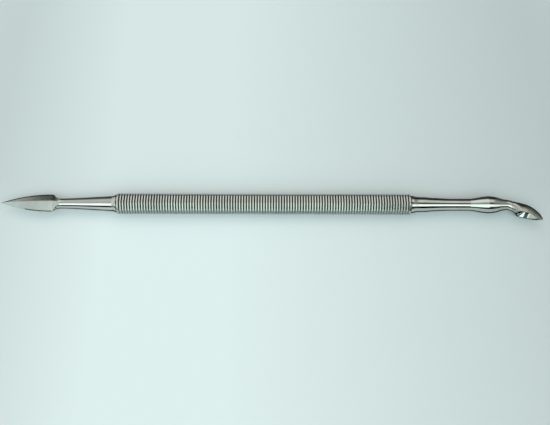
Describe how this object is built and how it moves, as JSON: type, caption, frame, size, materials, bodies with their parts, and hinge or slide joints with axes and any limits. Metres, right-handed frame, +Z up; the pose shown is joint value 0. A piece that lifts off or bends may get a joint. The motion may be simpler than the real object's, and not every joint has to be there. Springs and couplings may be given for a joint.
{
  "type": "double-ended modelling spatula",
  "caption": "Slender steel hand tool with a grooved eight-sided handle, a pointed leaf blade at one end and a small bent scoop at the other, for shaping soft material.",
  "frame": {"origin": "on the flat that the tool rests on, at the middle of the handle's length and of the flat's width", "axes": "+X runs along the handle towards the scoop, +Z points up from the flat that it rests on, and the scoop bends towards -Y"},
  "size_m": [0.151, 0.0076, 0.0054],
  "materials": {
    "handle_steel": "grooved and lightly worn stainless steel, satin on the lands, darker in the grooves",
    "polished_steel": "polished stainless steel with fine lengthwise hairlines, ground finish on the blade's faces",
    "silver_braze": "bright, slightly warm silver braze, smoothed into a small fillet"
  },
  "bodies": {
    "root": {"handle": "handle_steel", "blade_end": "polished_steel", "scoop_end": "polished_steel", "blade_braze": "silver_braze", "scoop_braze": "silver_braze"}
  },
  "joints": []
}
